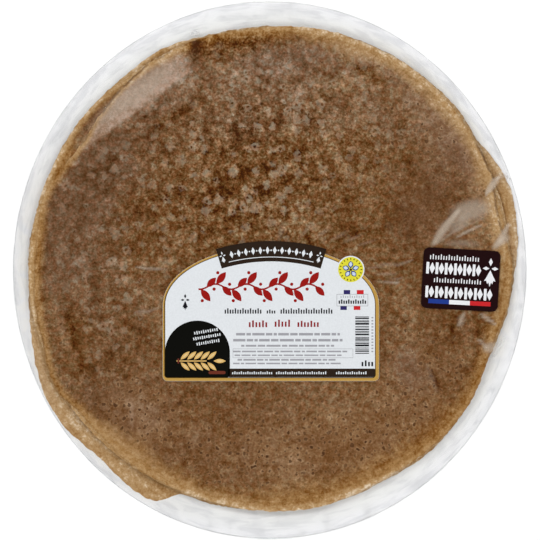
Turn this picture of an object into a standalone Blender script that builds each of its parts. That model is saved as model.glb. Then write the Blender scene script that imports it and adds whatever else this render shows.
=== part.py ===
# A flat pack of six large buckwheat galettes, lying face up.
# A white oval card carries the galettes, laid one on another a little out of line. A clear
# film is shrunk over the stack and round the card's edge. A die-cut front label and a small
# side sticker lie on the film.
# Metres, +Z up, +X to the right and +Y to the top of the front label. The origin is on the
# table, under the middle of the card.

import math

import bmesh
import bpy

# The whole pack and its sheets
PACK_WIDTH = 0.3526
PACK_LENGTH = 0.3690
GAP = 0.0003
FILM_THICKNESS = 0.0003
FILM_SLACK = 0.0004
LABEL_THICKNESS = 0.0002
CARD_THICKNESS = 0.0012
CARD_EDGE_ROUND = 0.0003

# The galettes, in their order from the card up. Each has the radius of its round, the shift
# of its middle, and the lobes (+) and dips (-) of its poured edge as start, peak and end in
# degrees from +X, with their height.
GALETTE_THICKNESS = 0.0010
GALETTE_EDGE = 0.0004
GALETTES = (
    (0.1636, (-0.0008, -0.0012), (
        (176, 217, 247, 0.0118), (224, 243, 249, 0.0115), (322, 338, 352, -0.0020))),
    (0.1646, (0.0012, 0.0006), (
        (352, 377, 398, 0.0085), (322, 338, 352, -0.0035))),
    (0.1642, (-0.0006, 0.0004), (
        (300, 314, 324, 0.0030), (322, 336, 350, -0.0030))),
    (0.1640, (0.0006, 0.0030), (
        (20, 52, 84, 0.0030), (104, 115, 126, 0.0012), (326, 338, 348, -0.0030))),
    (0.1640, (-0.0008, 0.0004), (
        (305, 316, 326, 0.0020), (326, 338, 350, -0.0025))),
    (0.1643, (0.0009, 0.0014), (
        (28, 62, 100, 0.0032), (110, 147, 166, -0.0085), (158, 175, 194, -0.0034),
        (196, 209, 217, 0.0040), (360, 372, 386, -0.0045), (250, 272, 298, 0.0026),
        (326, 340, 352, -0.0036))),
)
EDGE_RIPPLES = ((9, 0.0004), (14, 0.0003))
DROOP_LENGTH = 0.036

# Rings of a galette from its middle to its edge, as shares of its reach, and how thick it is
# at each as a share of its full thickness
GALETTE_RINGS = (0.0, 0.55, 0.85, 0.95, 1.0)
GALETTE_FULLNESS = (1.0, 1.0, 1.0, 0.85, GALETTE_EDGE / GALETTE_THICKNESS)
# Rings of the film where it lies flat, as shares of the top galette's reach, how far it
# passes outside each galette's edge, and the least distance between two of its rings
FILM_FLAT_RINGS = (0.0, 0.55, 0.85, 0.95)
EDGE_CLEARANCE = 0.0006
FILM_RING_STEP = 0.0002
SEGMENTS = 96
SMOOTH_BELOW_DEGREES = 40
MERGE_DISTANCE = 0.00001

# The front label: an arched plate, an arched banner and a round seal, each proud of the plate
PLATE_CENTRE_X = 0.0008
PLATE_BOTTOM_Y = -0.0760
PLATE_SHOULDER_Y = -0.0240
PLATE_HALF_WIDTH = 0.0740
PLATE_ARCH_RISE = 0.0403
PLATE_CORNER = 0.0035
BANNER_CENTRE = (0.0010, -0.1125)
BANNER_OUTER = 0.1323
BANNER_INNER = 0.1184
BANNER_HALF_ANGLE = 16.6
SEAL_CENTRE = (0.0554, 0.0003)
SEAL_RADIUS = 0.0094
ARCH_STEPS = 40
BANNER_STEPS = 16
SEAL_STEPS = 36
CORNER_STEPS = 5

# The side sticker
STICKER_CENTRE = (0.1306, -0.0065)
STICKER_WIDTH = 0.0526
STICKER_HEIGHT = 0.0415
STICKER_CORNER = 0.0038
STICKER_TILT = -3.2

WHITE_CARD = (0.86, 0.87, 0.88)
GALETTE_BROWN = (0.24, 0.14, 0.08)
CLEAR_FILM = (0.95, 0.96, 0.97)
LABEL_WHITE = (0.86, 0.88, 0.92)
STICKER_BROWN = (0.030, 0.011, 0.012)


def clear_scene():
    """Empty the scene that Blender starts with."""
    for obj in list(bpy.data.objects):
        bpy.data.objects.remove(obj, do_unlink=True)


def new_collection(name):
    """A collection linked to the scene."""
    collection = bpy.data.collections.new(name)
    bpy.context.scene.collection.children.link(collection)
    return collection


def finish(name, colour, roughness, alpha=1.0):
    """A Principled material of one colour."""
    material = bpy.data.materials.new(name)
    material.use_nodes = True
    shader = material.node_tree.nodes["Principled BSDF"]
    shader.inputs["Base Color"].default_value = (*colour, 1.0)
    shader.inputs["Roughness"].default_value = roughness
    shader.inputs["Metallic"].default_value = 0.0
    shader.inputs["Alpha"].default_value = alpha
    return material


def smooth_step(share):
    """0 up to a share of 0, 1 from a share of 1, and a smooth ramp between."""
    share = min(max(share, 0.0), 1.0)
    return share * share * (3.0 - 2.0 * share)


def lobe(degrees, start, peak, end):
    """Height, 0 to 1, of a smooth lobe that starts, peaks and ends at these angles."""
    turn = (degrees - start) % 360.0 + start
    if turn >= end:
        return 0.0
    share = (turn - start) / (peak - start) if turn < peak else (end - turn) / (end - peak)
    return 0.5 - 0.5 * math.cos(math.pi * share)


def oval(half_width, half_length, angle):
    """Distance from the middle of an oval to its edge."""
    return 1.0 / math.hypot(math.cos(angle) / half_width, math.sin(angle) / half_length)


def card_reach(angle):
    """Distance from the middle to the card's edge, inside the film."""
    wrap = FILM_THICKNESS + GAP
    return oval(PACK_WIDTH / 2 - wrap, PACK_LENGTH / 2 - wrap, angle)


def galette_reach(layer, angle):
    """Distance from the middle to a galette's uneven edge."""
    radius, (shift_x, shift_y), lobes = GALETTES[layer]
    reach = radius + shift_x * math.cos(angle) + shift_y * math.sin(angle)
    for start, peak, end, height in lobes:
        reach += height * lobe(math.degrees(angle), start, peak, end)
    for waves, height in EDGE_RIPPLES:
        reach += height * math.sin(waves * angle + layer * waves)
    return reach


def lying_height(layer, reach, angle):
    """Underside of a galette: on the card, and up by each lower one as far as that reaches."""
    height = CARD_THICKNESS + GAP
    for lower in range(layer):
        beyond = (reach - galette_reach(lower, angle)) / DROOP_LENGTH
        height += (GALETTE_THICKNESS + GAP) * (1.0 - smooth_step(beyond))
    return height


def turned_blank(profile):
    """A profile of (ring number, level) steps, spun round +Z and closed at its poles."""
    blank = bmesh.new()
    steps = [blank.verts.new((ring, 0.0, level)) for ring, level in profile]
    edges = [blank.edges.new(pair) for pair in zip(steps, steps[1:])]
    bmesh.ops.spin(
        blank, geom=steps + edges, cent=(0, 0, 0), axis=(0, 0, 1), dvec=(0, 0, 0),
        angle=math.tau, steps=SEGMENTS, use_merge=True)
    bmesh.ops.remove_doubles(blank, verts=blank.verts, dist=MERGE_DISTANCE)
    return blank


def turned_piece(name, profile, place, material, collection):
    """Spin a blank, then move each of its points to the reach and height that place gives."""
    blank = turned_blank(profile)
    for vert in blank.verts:
        ring = round(math.hypot(vert.co.x, vert.co.y))
        angle = math.atan2(vert.co.y, vert.co.x) if ring else 0.0
        reach, height = place(ring, vert.co.z, angle)
        vert.co = (reach * math.cos(angle), reach * math.sin(angle), height)
    bmesh.ops.recalc_face_normals(blank, faces=blank.faces)
    highest = max(blank.faces, key=lambda face: face.calc_center_median().z)
    if highest.normal.z < 0:
        bmesh.ops.reverse_faces(blank, faces=blank.faces)
    mesh = bpy.data.meshes.new(name)
    blank.to_mesh(mesh)
    blank.free()
    mesh.shade_smooth()
    mesh.set_sharp_from_angle(angle=math.radians(SMOOTH_BELOW_DEGREES))
    mesh.materials.append(material)
    piece = bpy.data.objects.new(name, mesh)
    collection.objects.link(piece)
    return piece


def make_card(collection):
    """The white oval card, flat underneath, with its cut edge slightly rounded."""
    heights = (0.0, CARD_EDGE_ROUND, CARD_THICKNESS - CARD_EDGE_ROUND, CARD_THICKNESS)

    def place(ring, level, angle):
        reaches = (0.0, card_reach(angle) - CARD_EDGE_ROUND, card_reach(angle))
        return reaches[ring], heights[round(level)]

    profile = ((0, 3), (1, 3), (2, 2), (2, 1), (1, 0), (0, 0))
    turned_piece("card_disc", profile, place, finish("white_card", WHITE_CARD, 0.7), collection)


def make_galette(layer, material, collection):
    """One galette: a thin round with an uneven edge that thins out, lying on those below."""

    def place(ring, level, angle):
        reach = GALETTE_RINGS[ring] * galette_reach(layer, angle)
        thickness = GALETTE_THICKNESS * GALETTE_FULLNESS[ring]
        return reach, lying_height(layer, reach, angle) + level * thickness

    rings = range(len(GALETTE_RINGS))
    profile = [(ring, 1) for ring in rings] + [(ring, 0) for ring in reversed(rings)]
    turned_piece(f"galette_{layer + 1}", profile, place, material, collection)


def stack_height():
    """Top of the uppermost galette, at its middle."""
    return lying_height(len(GALETTES) - 1, 0.0, 0.0) + GALETTE_THICKNESS


def film_supports(angle):
    """What holds the film up on one side: the flat top, every galette's edge and the card."""
    shoulder = FILM_FLAT_RINGS[-1] * galette_reach(len(GALETTES) - 1, angle)
    supports = [(0.0, stack_height() + FILM_SLACK), (shoulder, stack_height() + FILM_SLACK)]
    for layer in range(len(GALETTES)):
        reach = galette_reach(layer, angle)
        edge_top = lying_height(layer, reach, angle) + GALETTE_EDGE
        supports.append((reach + EDGE_CLEARANCE, edge_top + FILM_SLACK))
    supports.append((card_reach(angle) + GAP, CARD_THICKNESS + GAP))
    return supports


def film_height(reach, angle):
    """Height of the tight film: the highest straight line between any two supports."""
    supports = film_supports(angle)
    heights = []
    for inner_x, inner_z in supports:
        for outer_x, outer_z in supports:
            if inner_x <= reach <= outer_x and inner_x < outer_x:
                share = (reach - inner_x) / (outer_x - inner_x)
                heights.append(inner_z + share * (outer_z - inner_z))
    return max(heights)


def film_rings(angle):
    """Reaches of the film's rings on one side: over the top, past each edge and at the rim."""
    layers = range(len(GALETTES))
    rings = [share * galette_reach(layers[-1], angle) for share in FILM_FLAT_RINGS]
    for reach in sorted(galette_reach(layer, angle) for layer in layers):
        rings.append(max(reach + EDGE_CLEARANCE, rings[-1] + FILM_RING_STEP))
    return rings + [card_reach(angle) + GAP]


def make_film(collection):
    """The clear film, tight over the stack, down to the card's rim and round its edge."""

    def place(ring, level, angle):
        rings = film_rings(angle)
        if ring == len(rings):
            return rings[-1], GAP
        return rings[ring], film_height(rings[ring], angle)

    profile = [(ring, 0) for ring in range(len(film_rings(0.0)) + 1)]
    clear = finish("clear_film", CLEAR_FILM, 0.12, alpha=0.25)
    film = turned_piece("clear_film", profile, place, clear, collection)
    wall = film.modifiers.new("film wall", 'SOLIDIFY')
    wall.thickness = FILM_THICKNESS
    wall.offset = 1.0
    wall.use_even_offset = False


def arc(centre, reach_x, reach_y, start, end, steps):
    """Points along part of an oval, at angles in degrees."""
    points = []
    for step in range(steps + 1):
        angle = math.radians(start + (end - start) * step / steps)
        points.append((centre[0] + reach_x * math.cos(angle), centre[1] + reach_y * math.sin(angle)))
    return points


def label_height():
    """Height of the middle of a label that lies on the film."""
    return stack_height() + FILM_SLACK + FILM_THICKNESS + GAP + LABEL_THICKNESS / 2


def flat_outline(name, points, material, collection):
    """A thin flat piece, cut to a closed outline, at the labels' height."""
    curve = bpy.data.curves.new(name, 'CURVE')
    curve.dimensions = '2D'
    curve.fill_mode = 'BOTH'
    curve.extrude = LABEL_THICKNESS / 2
    spline = curve.splines.new('POLY')
    spline.points.add(len(points) - 1)
    for point, (x, y) in zip(spline.points, points):
        point.co = (x, y, 0.0, 1.0)
    spline.use_cyclic_u = True
    curve.materials.append(material)
    piece = bpy.data.objects.new(name, curve)
    piece.location.z = label_height()
    collection.objects.link(piece)
    return piece


def as_mesh(piece, collection):
    """The same piece as one welded mesh."""
    bpy.context.view_layer.update()
    evaluated = piece.evaluated_get(bpy.context.evaluated_depsgraph_get())
    mesh = bpy.data.meshes.new_from_object(evaluated)
    welded = bmesh.new()
    welded.from_mesh(mesh)
    bmesh.ops.remove_doubles(welded, verts=welded.verts, dist=MERGE_DISTANCE)
    welded.to_mesh(mesh)
    welded.free()
    name = piece.name
    solid = bpy.data.objects.new(name, mesh)
    solid.matrix_world = piece.matrix_world
    bpy.data.objects.remove(piece, do_unlink=True)
    solid.name = name
    collection.objects.link(solid)
    return solid


def make_front_label(collection, cutters):
    """The die-cut front label: the plate with the banner and the seal joined to it."""
    paper = finish("label_paper", LABEL_WHITE, 0.3)
    left = PLATE_CENTRE_X - PLATE_HALF_WIDTH + PLATE_CORNER
    right = PLATE_CENTRE_X + PLATE_HALF_WIDTH - PLATE_CORNER
    low = PLATE_BOTTOM_Y + PLATE_CORNER
    shoulder = (PLATE_CENTRE_X, PLATE_SHOULDER_Y)
    plate_points = arc(shoulder, PLATE_HALF_WIDTH, PLATE_ARCH_RISE, 0, 180, ARCH_STEPS)
    plate_points += arc((left, low), PLATE_CORNER, PLATE_CORNER, 180, 270, CORNER_STEPS)
    plate_points += arc((right, low), PLATE_CORNER, PLATE_CORNER, 270, 360, CORNER_STEPS)
    first = 90 - BANNER_HALF_ANGLE
    last = 90 + BANNER_HALF_ANGLE
    banner_points = arc(BANNER_CENTRE, BANNER_OUTER, BANNER_OUTER, first, last, BANNER_STEPS)
    banner_points += arc(BANNER_CENTRE, BANNER_INNER, BANNER_INNER, last, first, BANNER_STEPS)
    seal_points = arc(SEAL_CENTRE, SEAL_RADIUS, SEAL_RADIUS, 0, 360, SEAL_STEPS)[:-1]

    plate = as_mesh(flat_outline("front_label", plate_points, paper, collection), collection)
    for name, points in (("banner_cut", banner_points), ("seal_cut", seal_points)):
        cutter = as_mesh(flat_outline(name, points, paper, cutters), cutters)
        cutter.hide_render = True
        cutter.display_type = 'WIRE'
        join = plate.modifiers.new(name, 'BOOLEAN')
        join.operation = 'UNION'
        join.solver = 'EXACT'
        join.object = cutter


def make_side_sticker(collection):
    """The small dark sticker near the right edge, set slightly askew."""
    ink = finish("sticker_ink", STICKER_BROWN, 0.3)
    half_x = STICKER_WIDTH / 2 - STICKER_CORNER
    half_y = STICKER_HEIGHT / 2 - STICKER_CORNER
    points = []
    for corner, (side_x, side_y) in enumerate(((1, 1), (-1, 1), (-1, -1), (1, -1))):
        centre = (side_x * half_x, side_y * half_y)
        start = corner * 90
        points += arc(centre, STICKER_CORNER, STICKER_CORNER, start, start + 90, CORNER_STEPS)
    sticker = flat_outline("side_sticker", points, ink, collection)
    sticker.location.x, sticker.location.y = STICKER_CENTRE
    sticker.rotation_euler.z = math.radians(STICKER_TILT)


clear_scene()
pack = new_collection("galette_pack")
cutting_shapes = new_collection("cutting_shapes")
make_card(pack)
buckwheat = finish("baked_buckwheat", GALETTE_BROWN, 0.7)
for number in range(len(GALETTES)):
    make_galette(number, buckwheat, pack)
make_film(pack)
make_front_label(pack, cutting_shapes)
make_side_sticker(pack)
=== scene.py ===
import math
from functools import cache

import bmesh
import bpy
from mathutils import Matrix, Vector, noise


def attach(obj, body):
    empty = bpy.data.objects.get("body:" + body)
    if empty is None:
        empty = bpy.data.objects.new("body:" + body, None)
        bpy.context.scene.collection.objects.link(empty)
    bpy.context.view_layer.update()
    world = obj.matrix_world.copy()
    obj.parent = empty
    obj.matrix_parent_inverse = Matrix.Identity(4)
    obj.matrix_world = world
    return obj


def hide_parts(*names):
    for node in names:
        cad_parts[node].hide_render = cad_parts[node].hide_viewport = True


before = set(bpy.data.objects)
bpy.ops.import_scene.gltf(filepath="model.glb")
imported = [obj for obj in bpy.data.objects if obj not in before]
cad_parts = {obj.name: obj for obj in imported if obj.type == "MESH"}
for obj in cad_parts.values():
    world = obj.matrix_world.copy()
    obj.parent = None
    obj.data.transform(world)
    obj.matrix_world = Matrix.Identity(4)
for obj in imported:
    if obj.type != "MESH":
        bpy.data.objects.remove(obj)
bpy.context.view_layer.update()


# The card
# A stiff oval of coated white board that the galettes are laid on. It is die-cut. Its white is
# painted with grey clouds, partly the grey fibre below the coating and partly painted shade of the
# film's folds. At the sides next to the galettes it is painted darker and warmer, as painted shade
# with warm light thrown back from the galettes, and on the left it is painted greyer, as painted
# shade.
CARD_HALF_WIDTH = 0.1757
CARD_HALF_LENGTH = 0.1839
CARD_INNER_WHITE = (0.910, 0.915, 0.900)
CARD_OUTER_WHITE = (0.940, 0.940, 0.950)
CARD_GREY_AND_SHADE = (0.800, 0.802, 0.805)
CARD_WARM_SHADE = (0.850, 0.820, 0.750)
# The line across the card on whose two ends the painted warm shade lies
WARM_SHADE_WAY = (0.94, 0.34, 0.0)
CARD_FIBRE_SCALE = 900
CARD_FIBRE_DEPTH = 0.00004
CARD_CLOUD_SCALE = 60


class Signal:
    """What a shader node puts out. Arithmetic with it adds Math nodes to its tree."""

    def __init__(self, tree, socket):
        self.tree = tree
        self.socket = socket

    def calc(self, operation, other=0.0):
        """Arithmetic with this signal first."""
        return node(self.tree, "ShaderNodeMath", {0: self, 1: other}, operation=operation)[0]

    def __add__(self, other):
        return self.calc('ADD', other)

    def __sub__(self, other):
        return self.calc('SUBTRACT', other)

    def __mul__(self, other):
        return self.calc('MULTIPLY', other)

    def __truediv__(self, other):
        return self.calc('DIVIDE', other)

    def __lt__(self, other):
        return self.calc('LESS_THAN', other)

    def vector(self, operation, *others):
        """The same with vectors."""
        sockets = dict(enumerate((self, *others)))
        outputs = node(self.tree, "ShaderNodeVectorMath", sockets, operation=operation)
        return outputs["Value" if operation in ('LENGTH', 'DOT_PRODUCT') else "Vector"]

    def ease(self, start, end):
        """0 at start, 1 at end, with a smooth ramp between. Start may be the larger."""
        sockets = {"Value": self, "From Min": min(start, end), "From Max": max(start, end),
                   "To Min": float(start > end), "To Max": float(start < end)}
        return node(self.tree, "ShaderNodeMapRange", sockets, interpolation_type='SMOOTHSTEP')[0]

    def blend(self, first, second):
        """A colour between two, of which this signal is the second's share."""
        return node(self.tree, "ShaderNodeMix", {0: self, 6: first, 7: second}, data_type='RGBA')[2]


def feed(socket, value):
    """Give a node's socket a number, a colour or another node's signal."""
    if isinstance(value, Signal):
        value.tree.links.new(value.socket, socket)
    else:
        socket.default_value = (*value, 1.0) if socket.type == 'RGBA' else value


def node(tree, kind, sockets=None, **options):
    """Add a shader node and set it up. Gives its signals, by place and by name."""
    added = tree.nodes.new(kind)
    for option, value in options.items():
        setattr(added, option, value)
    for socket, value in (sockets or {}).items():
        feed(added.inputs[socket], value)
    return {key: Signal(tree, socket) for place, socket in enumerate(added.outputs)
            for key in (place, socket.name)}


def grain(where, scale, detail=2.0, roughness=0.5, distortion=0.0, output="Fac"):
    """A Noise Texture's output, about 0.5 on average."""
    sockets = {"Vector": where, "Scale": scale, "Detail": detail,
               "Roughness": roughness, "Distortion": distortion}
    return node(where.tree, "ShaderNodeTexNoise", sockets)[output]


def raised(height, depth, strength=1.0):
    """A normal from a height pattern whose full range is this deep, in metres."""
    sockets = {"Height": height, "Distance": depth, "Strength": strength}
    return node(height.tree, "ShaderNodeBump", sockets)["Normal"]


def new_finish(name, roughness):
    """A Principled material, its shader's sockets and the piece's own coordinates."""
    material = bpy.data.materials.new(name)
    material.use_nodes = True
    tree = material.node_tree
    shader = tree.nodes["Principled BSDF"].inputs
    feed(shader["Roughness"], roughness)
    return material, shader, node(tree, "ShaderNodeTexCoord")["Object"]


def white_board():
    """Coated white board, cloudy on a large scale and fibrous on a small one."""
    material, shader, where = new_finish("white_board", 0.55)
    shares = (1 / CARD_HALF_WIDTH, 1 / CARD_HALF_LENGTH, 0.0)
    reach = where.vector('MULTIPLY', shares).vector('LENGTH')
    coat = reach.ease(0.93, 0.99).blend(CARD_INNER_WHITE, CARD_OUTER_WHITE)
    # At the sides next to the galettes the board is painted darker and warmer: painted shade with
    # warm light thrown back from the galettes
    across = where.vector('DOT_PRODUCT', WARM_SHADE_WAY)
    side = across.calc('ABSOLUTE').ease(0.09, 0.16)
    # On the left the painted warm shade reaches nearer to the rim, and the board is painted
    # greyer, as painted shade
    left = across.ease(-0.05, -0.15)
    warm_shaded = side * (left * -0.03 + reach).ease(0.985, 0.93)
    # The grey clouds are partly the fibre below the coating and partly painted shade of the film's
    # folds
    clouds_and_shade = left * 0.5 + grain(where, CARD_CLOUD_SCALE, 4.0, 0.5, 0.8).ease(0.44, 0.80)
    feed(shader["Base Color"], clouds_and_shade.blend(warm_shaded.blend(coat, CARD_WARM_SHADE), CARD_GREY_AND_SHADE))
    fibres = grain(where, CARD_FIBRE_SCALE, 3.0, 0.6)
    feed(shader["Normal"], raised(fibres, CARD_FIBRE_DEPTH))
    return material


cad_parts["card_disc"].material_slots[0].material = white_board()


# The galettes
# Six large rounds of buckwheat batter, each spread on a hot plate by hand, so that its edge is
# uneven and thins out to a golden fringe, and its face is browned in a net round paler spots.
# They are about 1 mm thick and lie one on another, a little out of line.
MM = 0.001
HUNDREDTH = 0.01
SPOKES = 720
MERGE_DISTANCE = 0.0000001
SHARP_ANGLE = math.radians(50)
GAP = 0.0003
CARD_THICKNESS = 0.0012
GALETTE_THICKNESS = 0.0010
# From the lowest up: radius, shift of the middle, and the lobes of the edge, each by its start,
# peak and end in degrees and its height
GALETTES = (
    (0.1636, (-0.0008, -0.0012), (
        (176, 217, 247, 0.0118), (224, 243, 249, 0.0115), (322, 338, 352, -0.0020))),
    (0.1646, (0.0012, 0.0006), (
        (352, 377, 398, 0.0085), (322, 338, 352, -0.0035))),
    (0.1642, (-0.0006, 0.0004), (
        (300, 314, 324, 0.0030), (322, 336, 350, -0.0030))),
    (0.1640, (0.0006, 0.0030), (
        (20, 52, 84, 0.0030), (104, 115, 126, 0.0012), (326, 338, 348, -0.0030))),
    (0.1640, (-0.0008, 0.0004), (
        (305, 316, 326, 0.0020), (326, 338, 350, -0.0025))),
    (0.1643, (0.0009, 0.0014), (
        (28, 62, 100, 0.0032), (110, 147, 166, -0.0085), (158, 175, 194, -0.0034),
        (196, 209, 217, 0.0040), (360, 372, 386, -0.0045), (250, 272, 298, 0.0026),
        (326, 340, 352, -0.0036))),
)
TOP = len(GALETTES) - 1
EDGE_RIPPLES = ((9, 0.0004), (14, 0.0003))
DROOP_LENGTH = 0.036
# The frayed edge: waves round the galette and their height
FRAY = ((26, 0.00060), (62, 0.00050), (150, 0.00036))
THIN_EDGE_SHARE = 0.18
THIN_EDGE_WIDTH = 0.008
EDGE_SINK = 0.00014
# The relief of the face: waves in each metre and their height
RELIEF = ((45, 0.00012), (130, 0.00008), (300, 0.00003))
# Rings from the edge inwards are this far apart, over this width, and wider apart within
FINE_RING_STEP = 0.0010
FINE_RING_WIDTH = 0.026
TOP_RING_STEP = 0.0020
LOWER_INNER_RINGS = 3
UNDER_RING_SHARES = (0.0, 0.6, 0.93, 1.0)

# Round the edge, by degrees from +X: width of the golden zone in millimetres, and in hundredths
# how much paler than its middle tone that gold is, and how dark and how pale a line the edge has.
# The dark line is partly the browned edge and partly painted shadow of the gap under the edge; the
# pale line is partly the paler fringe and partly painted light in the thin edge
TOP_EDGE = (
    (0, 11, 2, 10, 0), (12, 8, 5, 60, 0), (28, 8, 5, 80, 0), (36, 9, 5, 15, 30),
    (50, 9, 5, 15, 50), (62, 9, 7, 20, 80), (76, 9, 4, 10, 90), (88, 8, -12, 0, 70),
    (98, 8, -16, 0, 70), (106, 8, -16, 0, 60), (113, 6, -12, 30, 20), (126, 3, -16, 70, 0),
    (142, 3, -16, 70, 0), (152, 4, -2, 15, 10), (162, 5.5, -3, 0, 30), (178, 5, -3, 0, 30),
    (188, 4.5, -2, 20, 10), (194, 4, -2, 45, 0), (214, 4, -4, 30, 0), (221, 8, 6, 0, 0),
    (232, 13, 8, 0, 0), (244, 12, 8, 0, 0), (252, 10, 4, 0, 40), (262, 10, 0, 0, 60),
    (276, 16, 1, 0, 80), (294, 16, 0, 0, 80), (304, 14, -11, 10, 50), (316, 14, -14, 20, 30),
    (326, 10, -6, 25, 20), (338, 7, -12, 35, 0), (347, 9, 0, 10, 10), (360, 11, 2, 10, 0))
LOWER_EDGE = (
    (0, 20, 7, 15, 40), (33, 20, 8, 30, 50), (60, 20, 6, 40, 80), (84, 20, -2, 10, 90),
    (106, 12, -2, 0, 100), (116, 4.2, -8, 0, 90), (146, 4.2, -6, 0, 90), (156, 16, -2, 0, 90),
    (182, 20, 4, 5, 60), (194, 20, 14, 0, 10), (214, 20, 16, 0, 0), (222, 20, 13, 0, 0),
    (250, 20, 12, 0, 10), (300, 20, 2, 0, 100), (328, 20, 0, 5, 80), (346, 20, 2, 10, 60),
    (360, 20, 7, 15, 40))
EDGE_MARKS = ("gold", "dark_line", "pale_line")
# At the lower left the broad flap of the lowest galette is painted as pale inside as at its edge:
# partly its own even tan and partly painted light that lifts the shade near the galettes above
FLAP = (194, 224, 254)
FLAP_START = 0.003
FLAP_BLUR = 0.006
FLAP_GOLD = 22

# The marks of the face, in hundredths: what the top galette and the lower ones start from, and
# what the smooth grey-mauve stretch at the upper left adds; that stretch is partly the batter's
# own grey and partly a painted veil of light that the film reflects there
FACE_MARKS = ("tone", "mauve", "contrast", "pores", "blobs")
TOP_FACE = (0, 0, 78, 0, 0)
LOWER_FACE = (0, 0, 70, 20, 0)
SMOOTH_VEIL_FACE = (30, 110, -20, 0, 0)
# The film's fold cuts that stretch, with its painted veil, off straight: across which way and how
# far from the middle it runs, and from which angle on
FOLD_WAY = Vector((-0.585, 0.811))
FOLD_AWAY = 0.139
FOLD_BLUR = 0.004
FOLD_START = 109
FOLD_START_BLUR = 5
# Soft patches of the top face: middle, half width and half length in millimetres, turn in
# degrees, then what each adds to the marks of the face. The narrow dark strokes at the fold near
# the top and beside the film's creases are painted shade
TOP_PATCHES = (
    (0, 108, 84, 38, 0, 5, 45, 22, 0, 80), (-31, 127, 12, 8, 10, 14, 10, 0, 0, 30),
    (20, 146, 40, 10, 0, 4, 45, -10, 10, 20), (-30, 154, 30, 8, 4, -6, -50, 55, 0, 0),
    (0, 139, 18, 10, 0, 7, 50, 0, 0, 30), (-25, 98, 30, 13, -8, -10, 0, 10, 0, 10),
    (61, 138, 20, 3.2, -31, -20, -60, 20, 30, 0), (99, 119, 44, 11, -40, 16, 20, -15, 20, 0),
    (48, 148, 26, 8, -18, 12, 20, -10, 0, 0), (-84, 118, 34, 16, 45, 8, 35, -10, 0, 0),
    (-64, 106, 20, 3.5, 28, -16, -20, 0, 0, -30), (-82, 106.5, 15, 1.4, 34, -22, 0, 20, 0, 0),
    (-22, 113, 26, 3.5, -2, -12, -20, 0, 0, -30), (-106, 72, 24, 24, 0, -9, 60, -8, 0, 20),
    (-135, 40, 26, 50, -8, -5, 80, -10, 0, 30), (-110, 5, 30, 30, 0, -3, 10, 0, 0, 30),
    (-20, 45, 72, 44, 0, -8, -30, 36, 0, 80), (24, 56, 46, 36, 0, 2, -80, 4, 0, -10),
    (-134.5, -42, 3.6, 20, 15, -30, -30, 10, 0, 0), (-105, -40, 32, 45, 0, -1, 20, 0, 20, 50),
    (92, 96, 40, 40, 0, 3, 0, -5, 40, 10), (121, 88, 22, 24, 0, 2, 50, -14, 20, 0),
    (102, 40, 26, 26, 0, -11, 40, -22, 10, 0), (152, 40, 18, 30, 0, 17, -20, -10, 60, 0),
    (137, 74, 12, 26, 20, 10, 30, -10, 40, 0), (108, -66, 34, 34, 0, -2, 10, -16, 80, 10),
    (96, -68, 9, 14, 20, 3, 70, 0, -60, 0), (124.6, -41, 1.9, 10, 3, -22, -30, 0, 0, 0),
    (142.4, -40, 1.9, 7, 10, -24, -30, 0, 0, 0), (113.5, -75, 2, 9, 28, -26, -30, 0, 0, 0),
    (70, -116, 50, 28, 20, 8, -10, -20, 90, 0), (-10, -122, 70, 34, 0, 2, 10, -20, 90, 10),
    (-98, -104, 34, 34, 0, 2, 25, -26, 90, 10), (-50.5, 150, 3.6, 9, 8, -42, 60, 0, 0, 0),
    (-46, 156, 7, 2.6, 0, -24, 40, 0, 0, 0), (-94.5, -97, 1.6, 9, 0, 16, 40, -30, 0, 0))

# Tones from dark to pale, each by its place from 0 to 1
BROWN_TONES = (
    (0.00, (0.045, 0.008, 0.000)), (0.12, (0.079, 0.021, 0.001)), (0.30, (0.143, 0.054, 0.012)),
    (0.43, (0.195, 0.088, 0.031)), (0.54, (0.257, 0.134, 0.057)), (0.71, (0.371, 0.215, 0.105)),
    (0.98, (0.611, 0.420, 0.244)))
MAUVE_TONES = (
    (0.00, (0.059, 0.016, 0.002)), (0.12, (0.094, 0.036, 0.009)), (0.30, (0.149, 0.069, 0.029)),
    (0.43, (0.193, 0.096, 0.048)), (0.54, (0.244, 0.138, 0.078)), (0.71, (0.335, 0.210, 0.135)),
    (0.98, (0.530, 0.375, 0.285)))
GOLD_TONES = (
    (0.00, (0.099, 0.020, 0.001)), (0.25, (0.207, 0.077, 0.008)), (0.50, (0.367, 0.200, 0.070)),
    (0.75, (0.511, 0.329, 0.158)), (1.00, (0.810, 0.665, 0.485)))
# The arcs that spreading leaves: how many there are along each radian and each metre
ARCS_ALONG = 3.0
ARCS_ACROSS = 75.0
# What the face is multiplied by from spot to spot: a little greyer here, a little redder there
GREYER = (0.89, 1.11, 1.26)
REDDER = (1.06, 0.98, 0.96)
SMOOTH_TINT = (0.98, 1.0, 1.02)
BLOB_BEIGE = (0.414, 0.301, 0.201)
EDGE_LINE_BROWN = (0.076, 0.023, 0.005)
PORE_BROWN = (0.066, 0.025, 0.008)
# The scales of the browning, from the finest, and how far the cells are pushed out of round
FINE_SCALE = 700
TINT_SCALE = 330
NET_SCALE = 300
PUSH_SCALE = 240
SPOT_SCALE = 235
PORE_SCALE = 212
BLOB_SCALE = 112
BLOTCH_SCALE = 105
MAUVE_VEIL_SCALE = 70
CLOUD_SCALE = 28
CELL_PUSH = (0.004, 0.004, 0.0)


def smooth_step(share):
    """0 up to a share of 0, 1 from a share of 1, and a smooth ramp between."""
    share = min(max(share, 0.0), 1.0)
    return share * share * (3.0 - 2.0 * share)


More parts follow.
